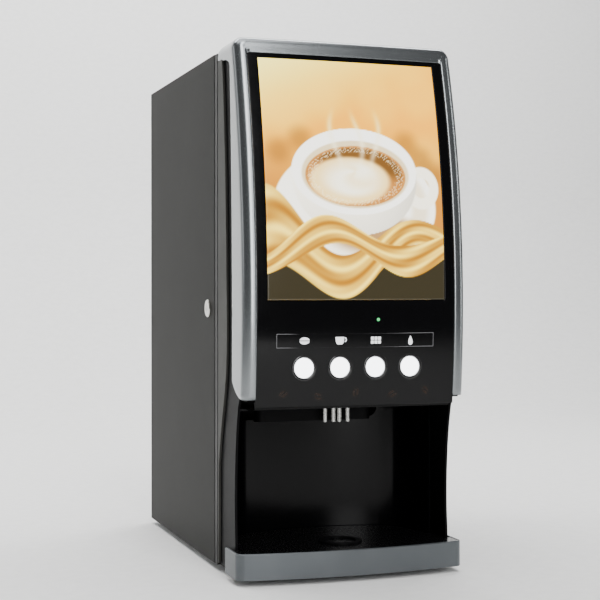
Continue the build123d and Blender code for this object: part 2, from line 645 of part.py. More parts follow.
def make_inlet_fittings():
    """Water inlet and overflow, each a threaded body with a hose tail."""
    pieces = []
    for x, tip in ((INLET_X, INLET_TIP), (INLET_X + 40, INLET_TIP - 4)):
        fitting = rod(6, (x, 240, INLET_Z), (x, BACK - SHEET, INLET_Z))
        fitting += rod(10, (x, BACK - SHEET, INLET_Z), (x, BACK + 3, INLET_Z))
        fitting += rod(5, (x, BACK + 3, INLET_Z), (x, tip, INLET_Z))
        pieces.append(fitting - rod(3.4, (x, 230, INLET_Z), (x, tip + 1, INLET_Z)))
    return pieces


# ---- electrics ----------------------------------------------------------------------------------
def make_fan_housing():
    body = block(FAN_X - 40, FAN_X + 40, 231, 256.4, FAN_Z - 40, FAN_Z + 40)
    body = fillet(body.edges().filter_by(Axis.Y), 5)
    body -= rod(37.5, (FAN_X, 225, FAN_Z), (FAN_X, 260, FAN_Z))
    hub = rod(14, (FAN_X, 231, FAN_Z), (FAN_X, 234, FAN_Z))
    hub += rod(2.4, (FAN_X, 231, FAN_Z), (FAN_X, 244, FAN_Z))
    for k in range(4):
        spoke = Pos(FAN_X, 0, FAN_Z) * Rot(0, 45 + 90 * k, 0) * block(10, 39, 231, 234, -2, 2)
        hub += spoke
    return body + hub


def make_fan_rotor():
    hub = rod(15, (0, 235, 0), (0, 252, 0)) - rod(2.5, (0, 230, 0), (0, 246, 0))
    blade = Pos(24, 243.5, 0) * Rot(38, 0, 0) * Box(24, 1.6, 17)
    for k in range(7):
        hub += Rot(0, 360 / 7 * k, 0) * blade
    ring = rod(36, (0, 230, 0), (0, 260, 0))
    return Pos(FAN_X, 0, FAN_Z) * (hub & ring)


def make_control_board():
    board = block(141, 142.6, 10, 220, 110, 280)
    for y in (24, 60, 96, 132):
        board += block(125, 141, y, y + 22, 236, 262)
    board += block(131, 141, 40, 74, 140, 174) + block(133, 141, 100, 124, 150, 174)
    for y in (150, 172, 194):
        board += rod(8, (118, y, 150), (141, y, 150))
    for y in (16, 212):
        for z in (118, 272):
            board += rod(4, (142.6, y, z), (148.6, y, z))
    return board + block(133, 141, 20, 200, 114, 124)


def make_power_supply():
    case = block(-20, 90, 60, 146, FOOT + SHEET + 0.1, 58)
    for k in range(7):
        case -= block(-12 + 14 * k, -6 + 14 * k, 66, 120, 56, 60)
    return case


def make_power_inlet():
    """Mains inlet and the switch's frame."""
    x, z = MAINS_X, MAINS_Z
    inlet = block(x - 13.5, x + 13.5, 234, BACK - SHEET, z - 10, z + 10)
    inlet += block(x - 24, x + 24, BACK - SHEET, BACK + 1.6, z - 14, z + 14)
    inlet -= block(x - 11.5, x + 11.5, 242, BACK + 5, z - 7.5, z + 7.5)
    for dx, dz in ((-6, -1), (0, 3), (6, -1)):
        inlet += block(x + dx - 1, x + dx + 1, 240, 254, z + dz - 2, z + dz + 2)
    sx, sz = SWITCH_X, SWITCH_Z
    frame = block(sx - 10.5, sx + 10.5, 238, BACK - SHEET, sz - 14, sz + 14)
    frame += block(sx - 12.5, sx + 12.5, BACK - SHEET, BACK + 1.6, sz - 16, sz + 16)
    frame -= block(sx - 8.5, sx + 8.5, 241, BACK + 5, sz - 12, sz + 12)
    return [inlet, frame]


def make_power_switch():
    """Rocker with two sloping halves."""
    half = [(BACK - 9, -10.6), (BACK + 2.6, -11), (BACK + 0.6, 0), (BACK + 2.6, 11), (BACK - 9, 10.6)]
    rocker = plate_yz(polygon(*half), SWITCH_X - 8.2, SWITCH_X + 8.2)
    return Pos(0, 0, SWITCH_Z) * rocker


def make_feet():
    spots = [(x, y) for x in (-115, 115) for y in (-80, 225)]
    return [chamfer(rod(12, (x, y, 0), (x, y, FOOT)).edges().group_by(Axis.Z)[0], 1.5) for x, y in spots]


def make_panel_screws():
    pieces = []
    for x in (-143, 143):
        for z in SCREW_Z:
            screw = rod(1.6, (x, BACK - 6, z), (x, BACK, z)) + rod(3.4, (x, BACK, z), (x, BACK + 2, z))
            screw = screw - block(x - 0.5, x + 0.5, BACK + 1.1, BACK + 3, z - 2.4, z + 2.4)
            pieces.append(screw - block(x - 2.4, x + 2.4, BACK + 1.1, BACK + 3, z - 0.5, z + 0.5))
    return pieces


def make_lock_barrel():
    y, z = LOCK_Y, LOCK_Z
    barrel = rod(9, (-HALF, y, z), (-128, y, z)) + chamfer(
        rod(12, (-153.2, y, z), (-HALF, y, z)).edges().group_by(Axis.X)[0], 1
    )
    barrel -= rod(6, (-155, y, z), (-120, y, z))
    nut = extrude(Plane.YZ.offset(-148.7) * Pos(y, z) * RegularPolygon(13, 6), 5)
    nut -= rod(9.05, (-150, y, z), (-140, y, z))
    return [barrel, nut]


def make_lock_plug():
    y, z = LOCK_Y, LOCK_Z
    plug = rod(5.92, (-153, y, z), (-126, y, z)) - block(-154, -149, y - 0.9, y + 0.9, z - 3.6, z + 3.6)
    cam = block(-126, -123.5, y - 34, y + 6, z - 6, z + 6)
    return plug + fillet(cam.edges().filter_by(Axis.X), 3)


# ---- write every node ---------------------------------------------------------------------------
save("side_panel_left", make_side_panel(-1))
save("side_panel_right", make_side_panel(1))
save("top_panel", make_top_panel())
save("back_panel", make_back_panel())
save("base_plate", make_base_plate())
save("front_frame", make_front_frame())
save("hinge_brackets", solids_of(make_hinge_brackets()))
save("bulkhead", make_bulkhead())
save("canister_shelf", make_canister_shelf())
for number, place in enumerate(CANISTER_X, 1):
    save(f"canister_{number}", make_canister(place))
    save(f"auger_{number}", make_auger(place))
    save(f"whipper_{number}", make_whipper(place))
save("canister_lids", solids_of([make_canister_lid(x) for x in CANISTER_X]))
save("powder_outlets", solids_of([make_powder_outlet(x) for x in CANISTER_X]))
save("auger_motors", solids_of([make_auger_motor(x) for x in CANISTER_X]))
save("mixing_bowls", solids_of([make_mixing_bowl(x) for x in CANISTER_X]))
save("whipper_motors", solids_of([make_whipper_motor(x) for x in CANISTER_X]))
save("nozzle_manifold", make_nozzle_manifold())
save("nozzle_tubes", solids_of([make_nozzle_tube(x) for x in NOZZLES]))
save("boiler_tank", make_boiler_tank())
save("boiler_lid", make_boiler_lid())
save("heating_element", make_heating_element())
save("water_valves", solids_of([make_water_valve(x) for x in VALVE_X]))
save("water_pump", make_water_pump())
save("water_hoses", solids_of(make_water_hoses()))
save("inlet_fittings", solids_of(make_inlet_fittings()))
save("fan_housing", make_fan_housing())
save("fan_rotor", make_fan_rotor())
save("control_board", make_control_board())
save("power_supply", make_power_supply())
save("power_inlet", solids_of(make_power_inlet()))
save("power_switch", make_power_switch())
save("feet", solids_of(make_feet()))
save("panel_screws", solids_of(make_panel_screws()))
save("lock_barrel", solids_of(make_lock_barrel()))
save("lock_plug", make_lock_plug())
save("door_shell", make_door_shell())
save("bay_liner", solids_of(make_bay_liner()))
save("bezel", make_bezel())
save("side_trims", solids_of(make_side_trims()))
save("front_panel", make_front_panel())
save("picture_pane", make_picture_pane())
save("light_box", solids_of(make_light_box()))
save("label_strip", make_label_strip())
save("button_board", solids_of(make_button_board()))
save("status_led", make_status_led())
save("latch_hook", make_latch_hook())
for number, place in enumerate(BUTTON_X, 1):
    save(f"button_{number}", make_button(place))
save("drip_tray", solids_of(make_drip_tray()))
save("drip_grid", make_drip_grid())
save("cup_rest", make_cup_rest())
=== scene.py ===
import math

import bmesh
import bpy
import numpy as np
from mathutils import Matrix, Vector


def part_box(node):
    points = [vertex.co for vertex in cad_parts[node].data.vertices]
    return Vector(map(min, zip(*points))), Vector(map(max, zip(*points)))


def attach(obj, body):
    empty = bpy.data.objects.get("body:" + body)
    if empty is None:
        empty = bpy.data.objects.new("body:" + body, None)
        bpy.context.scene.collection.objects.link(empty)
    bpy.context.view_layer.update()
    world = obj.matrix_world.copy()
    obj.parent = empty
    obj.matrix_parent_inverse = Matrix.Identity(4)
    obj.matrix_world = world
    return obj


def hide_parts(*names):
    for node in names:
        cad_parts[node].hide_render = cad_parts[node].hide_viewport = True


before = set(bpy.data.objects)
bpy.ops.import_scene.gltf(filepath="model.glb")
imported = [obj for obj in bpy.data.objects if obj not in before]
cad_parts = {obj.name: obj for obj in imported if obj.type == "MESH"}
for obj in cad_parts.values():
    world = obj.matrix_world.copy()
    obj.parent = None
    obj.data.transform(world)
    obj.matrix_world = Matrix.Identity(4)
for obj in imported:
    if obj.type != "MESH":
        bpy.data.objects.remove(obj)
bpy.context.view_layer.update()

# ---- studio ----
# A pale paper sweep on a table, lit by a lamp of its own. One tall soft box stands in front, where the
# left leg of the silver frame mirrors it and the black panel doesn't, with a weak one on the left.

camera_data = bpy.data.cameras.new("studio_camera")
camera_data.sensor_width = 36.0
camera_data.lens = 81.5
camera = bpy.data.objects.new("studio_camera", camera_data)
camera.location = (-0.6203, -1.8657, 0.3675)
camera.rotation_euler = (math.radians(89.64), 0.0, math.radians(-18.76))
bpy.context.scene.collection.objects.link(camera)
bpy.context.scene.camera = camera


def linear(code, alpha=1.0):
    """An sRGB hex colour as linear light."""
    parts = [int(code[i : i + 2], 16) / 255 for i in (0, 2, 4)]
    return tuple(p / 12.92 if p <= 0.04045 else ((p + 0.055) / 1.055) ** 2.4 for p in parts) + (alpha,)


def new_material(name):
    made = bpy.data.materials.new(name)
    made.use_nodes = True
    made.node_tree.nodes.clear()
    return made, made.node_tree


def add(tree, kind, settings=None, links=None):
    """Adds a node, sets its properties or input values, and links its inputs."""
    made = tree.nodes.new(kind)
    for key, value in (settings or {}).items():
        if isinstance(key, str) and hasattr(made, key):
            setattr(made, key, value)
        else:
            made.inputs[key].default_value = value
    for key, socket in (links or {}).items():
        tree.links.new(socket, made.inputs[key])
    return made


def ramp(tree, factor, *stops):
    """A colour ramp with stops of (position, colour)."""
    made = add(tree, "ShaderNodeValToRGB", links={"Fac": factor})
    while len(made.color_ramp.elements) < len(stops):
        made.color_ramp.elements.new(0.5)
    for element, (place, colour) in zip(made.color_ramp.elements, stops):
        element.position = place
        element.color = colour
    return made.outputs["Color"]


def mesh_piece(name, points, faces, smooth_angle=math.radians(35)):
    """A mesh object with smooth shading that keeps its edges sharp."""
    mesh = bpy.data.meshes.new(name)
    mesh.from_pydata([tuple(p) for p in points], [], faces)
    mesh.validate()
    mesh.shade_smooth()
    mesh.set_sharp_from_angle(angle=smooth_angle)
    made = bpy.data.objects.new(name, mesh)
    bpy.context.scene.collection.objects.link(made)
    return made


def soft_box(name, place, target, size, energy, colour="FFFFFF"):
    lamp = bpy.data.lights.new(name, "AREA")
    lamp.shape = "RECTANGLE"
    lamp.size, lamp.size_y = size
    lamp.energy = energy
    lamp.color = linear(colour)[:3]
    made = bpy.data.objects.new(name, lamp)
    made.location = place
    made.rotation_euler = (Vector(target) - Vector(place)).to_track_quat("-Z", "Y").to_euler()
    bpy.context.scene.collection.objects.link(made)


soft_box("tall_front_soft_box", (0.0, -2.6, 1.7), (-0.06, -0.2, 0.6), (0.85, 3.4), 85)
soft_box("left_soft_box", (-2.3, 0.5, 1.1), (-0.15, 0.0, 0.35), (0.8, 1.4), 5)
soft_box("right_strip", (2.2, -0.7, 0.9), (0.1, -0.1, 0.4), (0.3, 1.6), 9)
soft_box("backdrop_lamp", (0.0, 0.9, 2.6), (0.0, 1.9, 0.2), (3.0, 0.8), 105)
soft_box("floor_lamp", (-0.5, -0.6, 3.2), (-0.3, 0.1, 0.0), (2.4, 2.0), 44)

world = bpy.data.worlds.new("pale_room")
world.use_nodes = True
world.node_tree.nodes["Background"].inputs["Color"].default_value = linear("F4F5F6")
world.node_tree.nodes["Background"].inputs["Strength"].default_value = 0.22
bpy.context.scene.world = world

paper, tree = new_material("matt_paper_sweep")
fibre = add(tree, "ShaderNodeTexNoise", {"Scale": 400.0, "Detail": 3.0})
shade = ramp(tree, fibre.outputs["Fac"], (0.3, linear("EDEDEC")), (0.7, linear("F3F3F2")))
surface = add(tree, "ShaderNodeBsdfPrincipled", {"Roughness": 0.9}, {"Base Color": shade})
add(tree, "ShaderNodeOutputMaterial", links={"Surface": surface.outputs["BSDF"]})

profile = [(-4.0, 0.0), (1.6, 0.0)]
profile += [(1.6 + 0.8 * math.sin(a), 0.8 - 0.8 * math.cos(a)) for a in np.linspace(0.1, math.pi / 2, 12)]
profile.append((2.4, 4.0))
points = [(x, y, z) for x in (-4.0, 4.0) for y, z in profile]
count = len(profile)
faces = [(i, i + 1, i + 1 + count, i + count) for i in range(count - 1)]
floor = mesh_piece("paper_sweep", points, faces, math.pi)
floor.data.materials.append(paper)

# ---- cabinet sheets ----
# Three folded steel sheets: two sides and a lid. They are powder coated in a dark olive grey, which
# cures to a fine orange-peel texture that breaks up reflections. The rear flanges take the screws.


def dress(material, *nodes):
    """Gives CAD nodes a material in place of their own."""
    for name in nodes:
        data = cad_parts[name].data
        data.materials.clear()
        data.materials.append(material)


def finish(tree, surface):
    add(tree, "ShaderNodeOutputMaterial", links={"Surface": surface.outputs["BSDF"]})


def speckle(tree, size_mm, detail=2.0):
    """Noise with grains of a real size, from the object's own coordinates in metres."""
    place = add(tree, "ShaderNodeTexCoord").outputs["Object"]
    return add(tree, "ShaderNodeTexNoise", {"Scale": 1000.0 / size_mm, "Detail": detail}, {"Vector": place})


powder, tree = new_material("powder_coated_steel")
grain = speckle(tree, 1.4)  # coarser than the real 0.5 mm so that it shows
mottle = speckle(tree, 60.0, 3.0)
shade = ramp(tree, mottle.outputs["Fac"], (0.3, linear("2A2A28")), (0.7, linear("2D2D2B")))
gloss = add(tree, "ShaderNodeMapRange", {"To Min": 0.5, "To Max": 0.64}, {"Value": grain.outputs["Fac"]})
peel = add(
    tree, "ShaderNodeBump", {"Strength": 0.35, "Distance": 0.0002}, {"Height": grain.outputs["Fac"]}
)
surface = add(
    tree,
    "ShaderNodeBsdfPrincipled",
    {"IOR": 1.5, "Specular IOR Level": 0.07},
    {"Base Color": shade, "Roughness": gloss.outputs["Result"], "Normal": peel.outputs["Normal"]},
)
finish(tree, surface)
dress(powder, "side_panel_left", "side_panel_right", "top_panel")

# ---- zinc-plated inner sheets ----
# Plain sheet steel, cut, folded and then bright zinc plated, with pressed arms, hook and screws of
# the same finish. The plate is a cool grey metal with a faint spangle left by its crystals.

zinc, tree = new_material("zinc_plated_steel")
spangle = speckle(tree, 6.0, 1.0)
shade = ramp(tree, spangle.outputs["Fac"], (0.35, linear("A6AAAC")), (0.65, linear("AFB3B5")))
gloss = add(tree, "ShaderNodeMapRange", {"To Min": 0.36, "To Max": 0.44}, {"Value": spangle.outputs["Fac"]})
surface = add(
    tree,
    "ShaderNodeBsdfPrincipled",
    {"Metallic": 1.0},
    {"Base Color": shade, "Roughness": gloss.outputs["Result"]},
)
finish(tree, surface)
dress(zinc, "back_panel", "base_plate", "bulkhead", "canister_shelf")
dress(zinc, "hinge_brackets", "latch_hook", "panel_screws")

# ---- front frame ----
# The steel ring that closes the cabinet's mouth behind the door, folded from sheet and screwed to
# the side panels. It is stoved semi-matt black, so that it reads as a dark gap round the door.

stoved, tree = new_material("stoved_black_steel")
grain = speckle(tree, 1.0)
gloss = add(tree, "ShaderNodeMapRange", {"To Min": 0.32, "To Max": 0.45}, {"Value": grain.outputs["Fac"]})
surface = add(
    tree,
    "ShaderNodeBsdfPrincipled",
    {"Base Color": linear("121211"), "IOR": 1.5, "Specular IOR Level": 0.1},
    {"Roughness": gloss.outputs["Result"]},
)
finish(tree, surface)
dress(stoved, "front_frame")

# ---- door shell and its side trims ----
# Injection-moulded ABS. The shell is moulded black with a fine spark-eroded texture, and the two
# side trims are the same plastic in dark grey, clipped on behind the silver frame.


def moulded(name, dark, light, grain_mm, rough_low, rough_high, depth=0.0001, shine=0.5):
    """Injection-moulded plastic with a spark-eroded surface."""
    material, tree = new_material(name)
    grain = speckle(tree, grain_mm)
    cloud = speckle(tree, 45.0)
    shade = ramp(tree, cloud.outputs["Fac"], (0.3, linear(dark)), (0.7, linear(light)))
    gloss = add(
        tree,
        "ShaderNodeMapRange",
        {"To Min": rough_low, "To Max": rough_high},
        {"Value": grain.outputs["Fac"]},
    )
    bump = add(
        tree, "ShaderNodeBump", {"Strength": 0.25, "Distance": depth}, {"Height": grain.outputs["Fac"]}
    )
    surface = add(
        tree,
        "ShaderNodeBsdfPrincipled",
        {"IOR": 1.53, "Specular IOR Level": shine},
        {"Base Color": shade, "Roughness": gloss.outputs["Result"], "Normal": bump.outputs["Normal"]},
    )
    finish(tree, surface)
    return material


black_abs = moulded("black_abs_spark_eroded", "050506", "080809", 1.2, 0.4, 0.52, shine=0.05)
grey_abs = moulded("grey_abs_spark_eroded", "3A3A37", "42423F", 1.0, 0.42, 0.54, shine=0.08)
dress(black_abs, "door_shell", "nozzle_manifold", "cup_rest")
dress(grey_abs, "side_trims")

# ---- silver frame ----
# A thin ABS moulding in the form of an upside-down U, sprayed with metallic silver lacquer and
# clipped round the front panel. Its front bulges in both directions and its edges are rounded.

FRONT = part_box("front_panel")[0].y
CROWN_Z, CROWN_R, BOW_R = 0.348, 1.18, 4.0
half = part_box("bezel")[1].x
door_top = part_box("bezel")[1].z
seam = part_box("bezel")[1].y
WINDOW_HALF, WINDOW_TOP = 0.133, 0.669


def front_y(x, z, proud=0.0):
    """The door front's surface, moved out by proud."""
    reach = CROWN_R + proud - x * x / (2 * BOW_R)
    return FRONT + CROWN_R - math.sqrt(reach**2 - (z - CROWN_Z) ** 2)


def grid_faces(rows, columns, wrap=False):
    """Quads for points listed row by row."""
    faces = []
    for row in range(rows - 1):
        here, above = row * columns, (row + 1) * columns
        for c in range(columns if wrap else columns - 1):
            beside = (c + 1) % columns
            faces.append((here + c, here + beside, above + beside, above + c))
    return faces


def frame_spine():
    """Outer edge of the frame seen from the front: places and inward directions."""
    corner, low = 0.016, 0.233
    spine = []
    for z in np.linspace(low, door_top - corner, 90)[:-1]:
        spine.append((-half, z, 1.0, 0.0))
    for angle in np.linspace(math.pi, math.pi / 2, 20):
        cx, cz = -half + corner, door_top - corner
        dx, dz = math.cos(angle), math.sin(angle)
        spine.append((cx + corner * dx, cz + corner * dz, -dx, -dz))
    for x in np.linspace(-half + corner, 0, 40)[1:]:
        spine.append((x, door_top, 0.0, -1.0))
    return spine + [(-x, z, -dx, dz) for x, z, dx, dz in reversed(spine[:-1])]


def rear_edge(z):
    """Where the frame's side stops, by height: a leaning edge that turns back to the seam at the top."""
    turn_low, turn_high = 0.655, 0.668
    if z > turn_high:
        return seam
    lean = -0.214 + 0.011 * max(0.0, (z - 0.357) / 0.305) ** 2
    if z < turn_low:
        return lean
    blend = (z - turn_low) / 0.013
    return lean + (seam - lean) * (1 - math.sqrt(1 - blend**2))


def chin_lift(y, z):
    """How far the frame's lower end rises towards the back."""
    back = min(1.0, max(0.0, (y + 0.262) / 0.048))
    fade = max(0.0, 1 - (z - 0.233) / 0.06)
    return 0.021 * back**2.2 * fade


def in_hinge_slot(x, z):
    """Whether the outer edge passes the slot that clears the upper hinge arm."""
    arm_thickness, gap = 0.0024, 0.0016
    arm_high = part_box("hinge_brackets")[1].z
    return x > 0.125 and arm_high - arm_thickness - gap < z < arm_high + gap


def build_frame():
    round_r, slot_front, proud_by = 0.012, -0.1695, 0.0015
    points, rows = [], 0
    for x, z, dx, dz in frame_spine():
        width = (half - WINDOW_HALF) if abs(dz) < 0.5 else (door_top - WINDOW_TOP)
        span = [(width, -0.0035), (width, -0.0004), (width - 0.0004, 0.0009), (width - 0.0014, proud_by)]
        span += [(a, proud_by) for a in np.linspace(width - 0.003, round_r, 5)]
        ring = []
        for inset, proud in span:
            px, pz = x + dx * inset, z + dz * inset
            ring.append((px, front_y(px, pz, proud), pz))
        cx, cz = x + dx * round_r, z + dz * round_r
        edge_y = front_y(cx, cz, proud_by) + round_r
        for angle in np.linspace(0, math.pi / 2, 9)[1:]:
            out = round_r * (1 - math.sin(angle))
            ring.append((x + dx * out, edge_y - round_r * math.cos(angle), z + dz * out))
        stop = slot_front if in_hinge_slot(x, z) else rear_edge(z)
        for part in np.linspace(0, 1, 9)[1:]:
            ring.append((x, edge_y + (stop - edge_y) * part, z))
        points += [(px, py, pz + chin_lift(py, pz)) for px, py, pz in ring]
        rows += 1
    return points, grid_faces(rows, len(points) // rows)


silver, tree = new_material("silver_lacquered_abs")
flake = speckle(tree, 0.9, 1.0)
drift = speckle(tree, 80.0, 2.0)
shade = ramp(tree, drift.outputs["Fac"], (0.3, linear("7E8284")), (0.7, linear("888C8E")))
gloss = add(tree, "ShaderNodeMapRange", {"To Min": 0.2, "To Max": 0.3}, {"Value": flake.outputs["Fac"]})
glint = add(
    tree, "ShaderNodeBump", {"Strength": 0.05, "Distance": 0.0001}, {"Height": flake.outputs["Fac"]}
)
surface = add(
    tree,
    "ShaderNodeBsdfPrincipled",
    {"Metallic": 1.0, "Coat Weight": 0.3, "Coat Roughness": 0.06},
    {"Base Color": shade, "Roughness": gloss.outputs["Result"], "Normal": glint.outputs["Normal"]},
)
finish(tree, surface)

silver_frame = mesh_piece("silver_frame", *build_frame(), math.radians(50))
wall = silver_frame.modifiers.new("wall", "SOLIDIFY")
wall.thickness = 0.002
wall.offset = 1.0
silver_frame.data.materials.append(silver)
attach(silver_frame, "door")
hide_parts("bezel")

# ---- front panel ----
# One sheet of acrylic, screen printed black on its back except for the picture window, and bent to
# the door's double curve. Faint brown coffee beans are printed in the black below the buttons.

panel_low, panel_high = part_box("front_panel")
picture_low, picture_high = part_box("picture_pane")
BUTTON_X = [(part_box(f"button_{n}")[0].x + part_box(f"button_{n}")[1].x) / 2 for n in range(1, 5)]
BUTTON_Z = (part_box("button_1")[0].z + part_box("button_1")[1].z) / 2
BEANS = [(-0.098, 0.24, 0.4), (-0.052, 0.236, 2.7), (-0.002, 0.24, 1.2)]  # x, z and turn of each
BEANS += [(0.048, 0.237, 0.2), (0.094, 0.241, 2.2)]


def bean_print(x, z):
    """How strongly a printed bean shows at a place, from 0 to 1."""
    strength = 0.0
    for bx, bz, turn in BEANS:
        along = (x - bx) * math.cos(turn) + (z - bz) * math.sin(turn)
        across = (z - bz) * math.cos(turn) - (x - bx) * math.sin(turn)
        edge = 1 - (along / 0.0075) ** 2 - (across / 0.005) ** 2
        if edge > 0:
            groove = abs(across - 0.0012 * math.sin(along * 300)) < 0.0008
            strength = max(strength, 0.25 if groove else 0.45 + 0.55 * min(1.0, edge * 1.5))
    return strength


def build_panel():
    margin, step = 0.0013, 0.0014
    left, right = picture_low.x - 0.0002, picture_high.x + 0.0002
    low, high = picture_low.z - 0.0002, picture_high.z + 0.0002
    x_end, z0, z1 = panel_high.x + margin, panel_low.z, panel_high.z + margin

    def run(*stops):
        spots = [stops[0]]
        for a, b in zip(stops, stops[1:]):
            spots += list(np.linspace(a, b, max(2, round((b - a) / step) + 1)))[1:]
        return spots

    xs, zs = run(-x_end, left, right, x_end), run(z0, low, high, z1)
    points = [(x, front_y(x, z), z) for z in zs for x in xs]
    faces = []
    for face in grid_faces(len(zs), len(xs)):
        cx = sum(points[i][0] for i in face) / 4
        cz = sum(points[i][2] for i in face) / 4
        in_picture = left < cx < right and low < cz < high
        in_button = any((cx - bx) ** 2 + (cz - BUTTON_Z) ** 2 < 0.0146**2 for bx in BUTTON_X)
        if not in_picture and not in_button:
            faces.append(face)
    used = sorted({i for face in faces for i in face})
    place = {old: new for new, old in enumerate(used)}
    return [points[i] for i in used], [tuple(place[i] for i in face) for face in faces]


panel_points, panel_faces = build_panel()
front_sheet = mesh_piece("printed_acrylic_panel", panel_points, panel_faces, math.pi)
tint = front_sheet.data.color_attributes.new("print", "FLOAT_COLOR", "POINT")
tint.data.foreach_set("color", [v for x, y, z in panel_points for v in (*[bean_print(x, z)] * 3, 1.0)])
thick = front_sheet.modifiers.new("thickness", "SOLIDIFY")
thick.thickness = 0.003
thick.offset = -1.0

acrylic, tree = new_material("back_printed_acrylic")
ink = add(tree, "ShaderNodeVertexColor", {"layer_name": "print"})
print_stops = (0.0, linear("030304")), (0.45, linear("0A0604")), (1.0, linear("1C110A"))
shade = ramp(tree, ink.outputs["Color"], *print_stops)
smear = speckle(tree, 30.0, 4.0)
gloss = add(tree, "ShaderNodeMapRange", {"To Min": 0.05, "To Max": 0.11}, {"Value": smear.outputs["Fac"]})
surface = add(
    tree,
    "ShaderNodeBsdfPrincipled",
    {"IOR": 1.49, "Specular IOR Level": 0.22},
    {"Base Color": shade, "Roughness": gloss.outputs["Result"]},
)
finish(tree, surface)
front_sheet.data.materials.append(acrylic)
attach(front_sheet, "door")
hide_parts("front_panel")

# ---- lit picture ----
# A translucent film behind the clear part of the panel, lit evenly from behind. The picture is a
# plain serving suggestion: a white cup and saucer behind gold satin, painted here by formula.

PICTURE_COLUMNS, PICTURE_ROWS = 180, 230
PICTURE_TALL = 1.28  # height over width


def soft(edge, width):
    """0 outside and 1 inside an outline, with a soft edge."""
    t = np.clip(edge / width + 0.5, 0, 1)
    return t * t * (3 - 2 * t)


def over(base, colour, cover):
    return base * (1 - cover[..., None]) + np.array(colour) * cover[..., None]


def ellipse(across, down, cx, cy, rx, ry):
    """Distance from a centre, where 1 is on the ellipse."""
    return np.hypot((across - cx) / rx, (down - cy) / ry)


